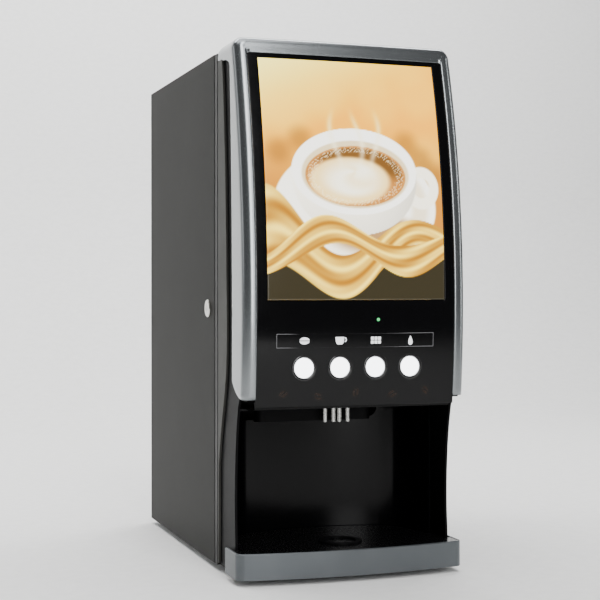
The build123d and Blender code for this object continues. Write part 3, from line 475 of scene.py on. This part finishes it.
def paint_picture(columns, rows):
    """The picture's colours, where across runs 0 to 1 and down runs 0 at the top to PICTURE_TALL."""
    across, down = np.meshgrid(np.linspace(0, 1, columns), np.linspace(PICTURE_TALL, 0, rows))
    # Out-of-focus ground: pale straw at the top left, amber, then brown behind the cup.
    straw, amber, brown = (1.0, 0.95, 0.6), (0.94, 0.7, 0.18), (0.72, 0.51, 0.22)
    art = np.ones(across.shape + (3,)) * np.array(straw)
    art = over(art, amber, np.clip((down + 0.42 * across) / 0.5, 0, 1) ** 1.1)
    art = over(art, brown, soft(down - 0.56, 0.5) * 0.85)
    glows = ((0.13, 0.28, 0.12), (0.34, 0.2, 0.1), (0.9, 0.16, 0.13), (0.66, 0.22, 0.11), (0.93, 0.5, 0.1))
    for bx, by, size in glows:
        art = over(art, (1.0, 0.84, 0.4), soft(size - np.hypot(across - bx, down - by), 0.12) * 0.35)
    for bx, by in ((0.08, 0.5), (0.2, 0.43), (0.8, 0.44), (0.95, 0.6), (0.88, 0.52)):
        art = over(art, (0.5, 0.36, 0.2), soft(0.06 - np.hypot(across - bx, down - by), 0.09) * 0.4)
    # Dark table in front.
    art = over(art, (0.25, 0.24, 0.19), soft(down - 0.98, 0.1))
    # Saucer, cup, handle and rim, all white porcelain lit from the left.
    saucer = ellipse(across, down, 0.5, 0.79, 0.46, 0.33)
    art = over(art, (1.0, 0.99, 0.95), soft(1 - saucer, 0.03))
    well_edge = soft(0.1 - np.abs(saucer - 0.8), 0.1)
    art = over(art, (0.86, 0.78, 0.62), well_edge * soft(across - 0.45, 0.5) * 0.5)
    art = over(art, (0.6, 0.45, 0.26), soft(1 - ellipse(across, down, 0.6, 0.93, 0.26, 0.1), 0.6) * 0.8)
    handle = np.abs(ellipse(across, down, 0.88, 0.68, 0.075, 0.085) - 1)
    art = over(art, (0.99, 0.97, 0.9), soft(0.36 - handle, 0.1))
    cx, cy = 0.5, 0.6
    fall = np.clip((down - cy) / 0.34, 0, 1)
    wide = 0.355 * np.sqrt(np.clip(1 - fall**2.4, 0, 1))
    body = soft(wide - np.abs(across - cx), 0.012) * (down > cy) * (fall < 1)
    side = (across - cx) / 0.35
    light = np.clip(1.0 - 0.16 * np.clip(side, 0, 1) ** 2 - 0.1 * fall**2, 0, 1)
    cream = light[..., None] * np.array([1.0, 0.98, 0.92])
    art = art * (1 - body[..., None]) + cream * body[..., None]
    art = over(art, (1.0, 0.995, 0.97), soft(1 - ellipse(across, down, cx, cy, 0.355, 0.232), 0.02))
    well = ellipse(across, down, cx + 0.005, cy + 0.015, 0.305, 0.182)
    art = over(art, (0.86, 0.8, 0.66), soft(1 - well, 0.05))
    # Coffee with pale crema, a darker crescent at the back and fine bubbles at its edge.
    drink = ellipse(across, down, cx + 0.005, cy + 0.025, 0.285, 0.162)
    turn = np.arctan2((down - cy) / 0.162, (across - cx) / 0.285)
    art = over(art, (0.72, 0.52, 0.28), soft(1 - drink, 0.03))
    crescent = soft(-np.sin(turn) - 0.1 + 0.35 * np.cos(turn), 0.7)
    art = over(art, (0.45, 0.34, 0.2), soft(0.94 - drink, 0.06) * crescent * 0.85)
    crema = ellipse(across, down, cx - 0.03, cy + 0.05, 0.27, 0.15)
    art = over(art, (0.95, 0.84, 0.6), soft(0.84 - crema, 0.16))
    swirl = 0.5 + 0.5 * np.sin(2 * turn + 8 * drink)
    foam = ellipse(across, down, cx - 0.02, cy + 0.04, 0.27, 0.15)
    art = over(art, (1.0, 0.98, 0.9), soft(0.62 - foam, 0.35) * (0.6 + 0.4 * swirl))
    bubbles = np.sin(across * 150 + 9 * np.sin(down * 90)) * np.sin(down * 190 + 7 * np.sin(across * 70))
    rim = soft(0.08 - np.abs(drink - 0.88), 0.06)
    art = over(art, (1.0, 0.95, 0.82), rim * soft(bubbles - 0.35, 0.3) * 0.6)
    # Steam.
    for sx, phase in ((0.4, 0.0), (0.52, 1.7), (0.62, 3.1)):
        path = sx + 0.03 * np.sin(down * 13 + phase)
        wisp = np.exp(-(((across - path) / 0.016) ** 2)) * soft(0.56 - down, 0.2) * soft(down - 0.3, 0.14)
        art = over(art, (1.0, 0.97, 0.86), wisp * 0.55)
    # Gold satin that falls across the front: one wide fold and a narrower one twisted round it.
    for base, swing, phase, wide, slim in ((1.03, 0.15, 0.0, 0.19, 0.11), (1.0, 0.1, 3.6, 0.07, 0.0)):
        middle = base - swing * np.cos(across * 7.4 + phase) * (1 - 0.3 * across)
        spread = wide - slim * np.clip(across * 1.6, 0, 1) + 0.015 * np.cos(across * 11 + phase)
        cross = (down - middle) / spread
        cover = soft(1 - np.abs(cross), 0.07)
        folds = 0.5 + 0.5 * np.sin(cross * 5.5 + across * 9 + phase + 1.2 * np.sin(across * 8))
        fine = 0.5 + 0.5 * np.sin(cross * 15 + across * 16)
        sheen = np.clip(0.75 * folds + 0.25 * fine, 0, 1) ** 1.1
        bright, deep = np.array([1.0, 0.9, 0.48]), np.array([0.66, 0.48, 0.14])
        gold = sheen[..., None] * bright + (1 - sheen[..., None]) * deep
        art = art * (1 - cover[..., None]) + gold * cover[..., None]
    return np.clip(art, 0, 1)


xs = np.linspace(picture_low.x, picture_high.x, PICTURE_COLUMNS)
zs = np.linspace(picture_low.z, picture_high.z, PICTURE_ROWS)
points = [(x, front_y(x, z, -0.0002), z) for z in zs for x in xs]
picture = mesh_piece("lit_picture", points, grid_faces(PICTURE_ROWS, PICTURE_COLUMNS), math.pi)
art = paint_picture(PICTURE_COLUMNS, PICTURE_ROWS) ** 3.0  # deep, so that the lit colours stay rich
film = picture.data.color_attributes.new("art", "FLOAT_COLOR", "POINT")
film.data.foreach_set("color", np.concatenate([art, np.ones(art.shape[:2] + (1,))], axis=2).ravel())
thick = picture.modifiers.new("thickness", "SOLIDIFY")
thick.thickness = 0.002
thick.offset = -1.0

film_material, tree = new_material("backlit_film_under_acrylic")
ink = add(tree, "ShaderNodeVertexColor", {"layer_name": "art"})
haze = speckle(tree, 40.0, 3.0)
gloss = add(tree, "ShaderNodeMapRange", {"To Min": 0.06, "To Max": 0.12}, {"Value": haze.outputs["Fac"]})
surface = add(
    tree,
    "ShaderNodeBsdfPrincipled",
    {"Base Color": linear("1A1208"), "IOR": 1.49, "Emission Strength": 3.2},
    {"Emission Color": ink.outputs["Color"], "Roughness": gloss.outputs["Result"]},
)
finish(tree, surface)
picture.data.materials.append(film_material)
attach(picture, "door")
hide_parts("picture_pane")

# ---- label strip ----
# A narrow film let into the panel above the buttons, black with a thin white outline. One printed
# sign for each drink stands over its button: coffee bean, cup, chocolate bar and water drop.

label_low, label_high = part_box("label_strip")


def printed_patch(name, outline, material, proud=0.00005):
    """A thin printed patch that follows the panel, from a closed outline in x and z."""
    front = [(x, front_y(x, z, proud), z) for x, z in outline]
    back = [(x, y + 0.0003, z) for x, y, z in front]
    count = len(outline)
    faces = [tuple(range(count)), tuple(reversed(range(count, 2 * count)))]
    faces += [(i, i + count, (i + 1) % count + count, (i + 1) % count) for i in range(count)]
    made = mesh_piece(name, front + back, faces)
    made.data.materials.append(material)
    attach(made, "door")
    return made


def lit_ink(name, code, strength, rough):
    """Printed ink with a little light behind it."""
    material, tree = new_material(name)
    mottle = speckle(tree, 0.8, 1.0)
    gloss = add(
        tree,
        "ShaderNodeMapRange",
        {"To Min": rough, "To Max": rough + 0.1},
        {"Value": mottle.outputs["Fac"]},
    )
    surface = add(
        tree,
        "ShaderNodeBsdfPrincipled",
        {
            "Base Color": linear(code),
            "IOR": 1.49,
            "Emission Strength": strength,
            "Emission Color": linear(code),
        },
        {"Roughness": gloss.outputs["Result"]},
    )
    finish(tree, surface)
    return material


black_film = lit_ink("black_label_film", "08080A", 0.0, 0.08)
white_ink = lit_ink("white_screen_ink", "E8EAEC", 0.9, 0.3)
grey_ink = lit_ink("grey_screen_ink", "77777A", 0.1, 0.3)

xs = np.linspace(label_low.x, label_high.x, 60)
zs = np.linspace(label_low.z, label_high.z, 6)
points = [(x, front_y(x, z, -0.0001), z) for z in zs for x in xs]
strip = mesh_piece("label_film_strip", points, grid_faces(6, 60), math.pi)
thick = strip.modifiers.new("thickness", "SOLIDIFY")
thick.thickness = 0.002
thick.offset = -1.0
strip.data.materials.append(black_film)
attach(strip, "door")
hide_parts("label_strip")

LINE = 0.0005
x0, x1, z0, z1 = label_low.x, label_high.x, label_low.z, label_high.z
for name, low, high in (("low", z0, z0 + LINE), ("high", z1 - LINE, z1)):
    run = np.linspace(x0, x1, 40)
    printed_patch(f"label_outline_{name}", [(x, low) for x in run] + [(x, high) for x in run[::-1]], grey_ink)
for name, low, high in (("left", x0, x0 + LINE), ("right", x1 - LINE, x1)):
    printed_patch(f"label_outline_{name}", [(low, z0), (high, z0), (high, z1), (low, z1)], grey_ink)

label_z = (z0 + z1) / 2
turns = np.linspace(0, 2 * math.pi, 24, endpoint=False)
SIGN = 1.45  # how much larger than the outlines below


def place_sign(centre, shape):
    return [(centre + SIGN * x, label_z + SIGN * z) for x, z in shape]


bean_half = [(0.0044 * math.cos(a), 0.0004 + 0.0026 * math.sin(a)) for a in np.linspace(0, math.pi, 14)]
printed_patch("sign_bean_upper", place_sign(BUTTON_X[0], bean_half), white_ink)
bean_other_half = [(x, -z) for x, z in reversed(bean_half)]
printed_patch("sign_bean_lower", place_sign(BUTTON_X[0], bean_other_half), white_ink)
cup_body = [(-0.0042, 0.003), (-0.0034, -0.002), (-0.002, -0.0034)]
cup_body += [(0.002, -0.0034), (0.0034, -0.002), (0.0042, 0.003)]
printed_patch("sign_cup", place_sign(BUTTON_X[1] - 0.001, cup_body), white_ink)
handle = [(0.0042 + 0.0022 * math.cos(a), 0.0006 + 0.0022 * math.sin(a)) for a in np.linspace(-1.4, 1.4, 10)]
handle += [(0.0042 + 0.0013 * math.cos(a), 0.0006 + 0.0013 * math.sin(a)) for a in np.linspace(1.4, -1.4, 10)]
printed_patch("sign_cup_handle", place_sign(BUTTON_X[1] - 0.001, handle), white_ink)
for row in range(2):
    for column in range(3):
        bx, bz = -0.0046 + 0.0033 * column, -0.0031 + 0.0033 * row
        square = [(bx, bz), (bx + 0.0027, bz), (bx + 0.0027, bz + 0.0027), (bx, bz + 0.0027)]
        printed_patch(f"sign_bar_{row}_{column}", place_sign(BUTTON_X[2], square), white_ink)
drop = [(0.0028 * math.sin(a) * math.sin(a / 2) ** 1.2, 0.0042 * math.cos(a) - 0.0004) for a in turns]
printed_patch("sign_drop", place_sign(BUTTON_X[3], drop), white_ink)

# ---- drink buttons ----
# Each is a translucent white polycarbonate cap, slightly domed, lit from behind, in a black gloss
# guide ring pressed into the panel. The cap is a body of its own, on a spring behind the panel.


def turned(name, profile, centre, segments=64, sharp=math.radians(35)):
    """A turned piece whose axis runs along Y, from (radius, depth behind the centre) pairs."""
    cx, cy, cz = centre
    points = []
    for radius, depth in profile:
        for k in range(segments):
            a = 2 * math.pi * k / segments
            points.append((cx + radius * math.cos(a), cy + depth, cz + radius * math.sin(a)))
    made = mesh_piece(name, points, grid_faces(len(profile), segments, wrap=True), sharp)
    clean = bmesh.new()
    clean.from_mesh(made.data)
    bmesh.ops.remove_doubles(clean, verts=clean.verts, dist=1e-6)
    bmesh.ops.recalc_face_normals(clean, faces=clean.faces)
    clean.to_mesh(made.data)
    clean.free()
    made.data.shade_smooth()
    made.data.set_sharp_from_angle(angle=sharp)
    return made


cap_plastic, tree = new_material("translucent_polycarbonate_cap")
place = add(tree, "ShaderNodeTexCoord").outputs["Object"]
frost = add(tree, "ShaderNodeTexNoise", {"Scale": 900.0}, {"Vector": place})
gloss = add(tree, "ShaderNodeMapRange", {"To Min": 0.18, "To Max": 0.28}, {"Value": frost.outputs["Fac"]})
warmth = ramp(tree, frost.outputs["Fac"], (0.2, linear("F4F7FF")), (0.8, linear("FFFFFF")))
surface = add(
    tree,
    "ShaderNodeBsdfPrincipled",
    {"Base Color": linear("EEF0F2"), "IOR": 1.58, "Emission Strength": 5.0},
    {"Emission Color": warmth, "Roughness": gloss.outputs["Result"]},
)
finish(tree, surface)
ring_plastic = moulded("polished_black_ring", "070708", "0A0A0B", 0.9, 0.12, 0.2, 0.00002)

for n, x in enumerate(BUTTON_X, 1):
    low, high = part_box(f"button_{n}")
    radius = (high.x - low.x) / 2
    dome = [(radius * math.sin(a), 0.0011 - 0.0011 * math.cos(a)) for a in np.linspace(0, 1.45, 10)]
    cap_profile = [(r, d) for r, d in dome] + [(radius, 0.0018), (radius, 0.0095), (0.004, 0.0095)]
    cap_profile += [(0.004, high.y - low.y), (0.0, high.y - low.y)]
    cap = turned(f"button_cap_{n}", cap_profile, (x, low.y, BUTTON_Z))
    cap.data.materials.append(cap_plastic)
    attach(cap, f"button_{n}_body")
    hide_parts(f"button_{n}")

# ---- button board ----
# Behind the panel: a laminate board with four tact switches and a connector. It carries the four
# guide rings, which show round the caps.

board_low, board_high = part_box("button_board")


def slab(low, high, bevel=0.0004):
    """Points and faces of a box with chamfered edges, for joining into one piece."""
    made = bmesh.new()
    bmesh.ops.create_cube(made, size=1.0)
    size = [h - l for l, h in zip(low, high)]
    middle = [(l + h) / 2 for l, h in zip(low, high)]
    bmesh.ops.scale(made, vec=size, verts=made.verts)
    bmesh.ops.translate(made, vec=middle, verts=made.verts)
    bmesh.ops.bevel(made, geom=made.edges[:], offset=min(bevel, min(size) / 3), segments=2, affect="EDGES")
    return made


def joined(name, parts):
    """One object from several bmesh parts."""
    whole = bmesh.new()
    for part in parts:
        scratch = bpy.data.meshes.new("scratch")
        part.to_mesh(scratch)
        whole.from_mesh(scratch)
        bpy.data.meshes.remove(scratch)
        part.free()
    mesh = bpy.data.meshes.new(name)
    whole.to_mesh(mesh)
    whole.free()
    mesh.shade_smooth()
    mesh.set_sharp_from_angle(angle=math.radians(35))
    made = bpy.data.objects.new(name, mesh)
    bpy.context.scene.collection.objects.link(made)
    return made


BOARD_HALF, LAMINATE, SWITCH_HALF = 0.112, 0.0016, 0.007
BOARD_Y = board_high.y - 0.0096  # the connector stands behind the laminate
switches = [slab((-BOARD_HALF, BOARD_Y, board_low.z), (BOARD_HALF, BOARD_Y + LAMINATE, board_high.z))]
for x in BUTTON_X:
    low = (x - SWITCH_HALF, BOARD_Y - 0.0035, BUTTON_Z - SWITCH_HALF)
    high = (x + SWITCH_HALF, BOARD_Y, BUTTON_Z + SWITCH_HALF)
    switches.append(slab(low, high))
switches.append(slab((-0.02, BOARD_Y + LAMINATE, 0.262), (0.02, BOARD_Y + 0.008, 0.274)))
button_board = joined("switch_board", switches)

laminate, tree = new_material("solder_masked_laminate")
weave = speckle(tree, 1.6, 3.0)
shade = ramp(tree, weave.outputs["Fac"], (0.35, linear("0E3B1E")), (0.65, linear("17502B")))
surface = add(
    tree, "ShaderNodeBsdfPrincipled", {"Roughness": 0.32, "IOR": 1.55}, {"Base Color": shade}
)
finish(tree, surface)
button_board.data.materials.append(laminate)
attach(button_board, "door")
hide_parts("button_board")
for n, x in enumerate(BUTTON_X, 1):
    face = front_y(x, BUTTON_Z)
    inner, outer, depth = 0.01285, 0.0165, 0.014
    wide, tall = 0.0018, 0.0009  # half the width and the height of the rounded rim
    arch = [(outer, depth), (outer, 0.0)]
    for a in np.linspace(0.2, math.pi / 2, 6):
        arch.append((outer - wide * (1 - math.cos(a)), -tall * math.sin(a)))
    for a in np.linspace(0.0, math.pi / 2, 7):
        arch.append((inner + wide * (1 - math.sin(a)), -tall * math.cos(a)))
    arch += [(inner, depth), (outer, depth)]
    ring = turned(f"guide_ring_{n}", arch, (x, face, BUTTON_Z), 72)
    ring.data.materials.append(ring_plastic)
    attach(ring, "door")

# ---- status lamp ----
# A 5 mm green light-emitting diode, soldered behind the panel. Its cast epoxy lens has a low dome
# that comes just through the acrylic and glows a little.

lamp_low, lamp_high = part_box("status_led")
lamp_centre = ((lamp_low.x + lamp_high.x) / 2, lamp_low.y, (lamp_low.z + lamp_high.z) / 2)
dome = [(0.0025 * math.sin(a), 0.0012 - 0.0012 * math.cos(a)) for a in np.linspace(0, math.pi / 2, 9)]
dome += [(0.0025, lamp_high.y - lamp_low.y), (0.0, lamp_high.y - lamp_low.y)]
lamp = turned("status_lens", dome, lamp_centre, 32)
lamp.data.materials.append(lit_ink("green_epoxy_lens", "2FBF62", 0.9, 0.12))
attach(lamp, "door")
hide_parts("status_led")

# ---- cup bay ----
# A polished black ABS liner behind the cup: a curved back wall, a ceiling with the drink outlet's
# shroud, and a floor under the tray. Gloss moulding gives soft upright reflections.

gloss_abs = moulded("polished_black_abs", "030304", "050506", 2.5, 0.14, 0.22, 0.00002, shine=0.12)
dress(gloss_abs, "bay_liner")

# ---- outlet tubes ----
# Four bright stainless tubes, drawn and polished, pressed into the black manifold. The boiler is
# the same steel, and the lock is nickel plated over turned brass.


def metal(name, dark, light, grain_mm, rough_low, rough_high):
    """Bare metal with fine drawing or brushing marks."""
    material, tree = new_material(name)
    grain = speckle(tree, grain_mm, 3.0)
    shade = ramp(tree, grain.outputs["Fac"], (0.3, linear(dark)), (0.7, linear(light)))
    gloss = add(
        tree,
        "ShaderNodeMapRange",
        {"To Min": rough_low, "To Max": rough_high},
        {"Value": grain.outputs["Fac"]},
    )
    surface = add(
        tree,
        "ShaderNodeBsdfPrincipled",
        {"Metallic": 1.0},
        {"Base Color": shade, "Roughness": gloss.outputs["Result"]},
    )
    finish(tree, surface)
    return material


stainless = metal("brushed_stainless", "A9A9A6", "BDBDBA", 1.5, 0.2, 0.34)
chrome = metal("nickel_plated_brass", "C4C2BC", "D6D4CE", 2.0, 0.1, 0.2)
brass = metal("turned_brass", "9C7A3C", "B8924C", 1.2, 0.22, 0.36)
dress(stainless, "nozzle_tubes", "boiler_tank", "boiler_lid", "heating_element")
dress(chrome, "lock_barrel", "lock_plug")
dress(brass, "inlet_fittings")

# ---- drip tray, grid and cup rest ----
# The tray's bowed lip is ABS sprayed satin grey, on a black basin; lip and basin are one piece
# here, and both take the satin grey. The grid is moulded black with drain holes and lifts out, and
# a raised ring marks the cup's place.

satin_grey, tree = new_material("satin_grey_metallic_lacquer")
flake = speckle(tree, 0.9, 1.0)
drift = speckle(tree, 60.0, 2.0)
shade = ramp(tree, drift.outputs["Fac"], (0.3, linear("565A5D")), (0.7, linear("5E6265")))
gloss = add(tree, "ShaderNodeMapRange", {"To Min": 0.34, "To Max": 0.44}, {"Value": flake.outputs["Fac"]})
surface = add(
    tree,
    "ShaderNodeBsdfPrincipled",
    {"Metallic": 0.8},
    {"Base Color": shade, "Roughness": gloss.outputs["Result"]},
)
finish(tree, surface)
dress(satin_grey, "drip_tray")
grid_abs = moulded("black_grid_moulding", "060607", "0A0A0B", 1.4, 0.2, 0.32, shine=0.3)
dress(grid_abs, "drip_grid")

# ---- powder canisters, augers and bowls ----
# Food-grade plastics: milky polypropylene canisters, white acetal augers and outlets, and white
# mixing bowls with their whippers.

milky = moulded("milky_polypropylene", "C9C9C2", "D4D4CE", 3.0, 0.32, 0.42)
acetal = moulded("white_acetal", "D9D8D2", "E3E2DD", 1.5, 0.3, 0.4)
dress(milky, "canister_1", "canister_2", "canister_3")
dress(acetal, "canister_lids", "powder_outlets", "mixing_bowls", "light_box")
dress(acetal, *[f"auger_{n}" for n in (1, 2, 3)], *[f"whipper_{n}" for n in (1, 2, 3)])

# ---- motors, pump, valves and power supply ----
# Drawn steel motor cans and a folded supply case, both plated and dull. The pump, valves, fan and
# mains inlet are moulded in dark glass-filled nylon, which comes out rough and slightly mottled.

cans = metal("plated_motor_can", "8F9294", "A3A6A8", 2.0, 0.3, 0.42)
nylon = moulded("glass_filled_nylon", "2A2724", "353129", 0.9, 0.45, 0.6)
dress(cans, "auger_motors", "whipper_motors", "power_supply")
dress(nylon, "water_valves", "water_pump", "fan_housing", "fan_rotor", "power_inlet", "power_switch")

# ---- hoses ----
# Extruded silicone hose, pushed over the barbs of the boiler, valves and bowls. It is translucent
# and slightly yellowed, so that light goes a little way into it.

silicone, tree = new_material("translucent_silicone_hose")
haze = speckle(tree, 6.0, 2.0)
shade = ramp(tree, haze.outputs["Fac"], (0.3, linear("BDB9A9")), (0.7, linear("CFCBBC")))
surface = add(
    tree,
    "ShaderNodeBsdfPrincipled",
    {"Roughness": 0.35, "IOR": 1.41, "Subsurface Weight": 0.3, "Subsurface Scale": 0.003},
    {"Base Color": shade},
)
finish(tree, surface)
dress(silicone, "water_hoses")

# ---- control board ----
# One laminate board on standoffs, with relays, a transformer and capacitors soldered to it. It has
# the green solder mask of the button board.

dress(laminate, "control_board")

# ---- feet ----
# Four feet moulded in black rubber, each held under the base plate by a screw through its middle.
# The rubber is nearly matt, and a little grey.

rubber = moulded("moulded_rubber", "151515", "1B1B1A", 1.5, 0.6, 0.75)
dress(rubber, "feet")
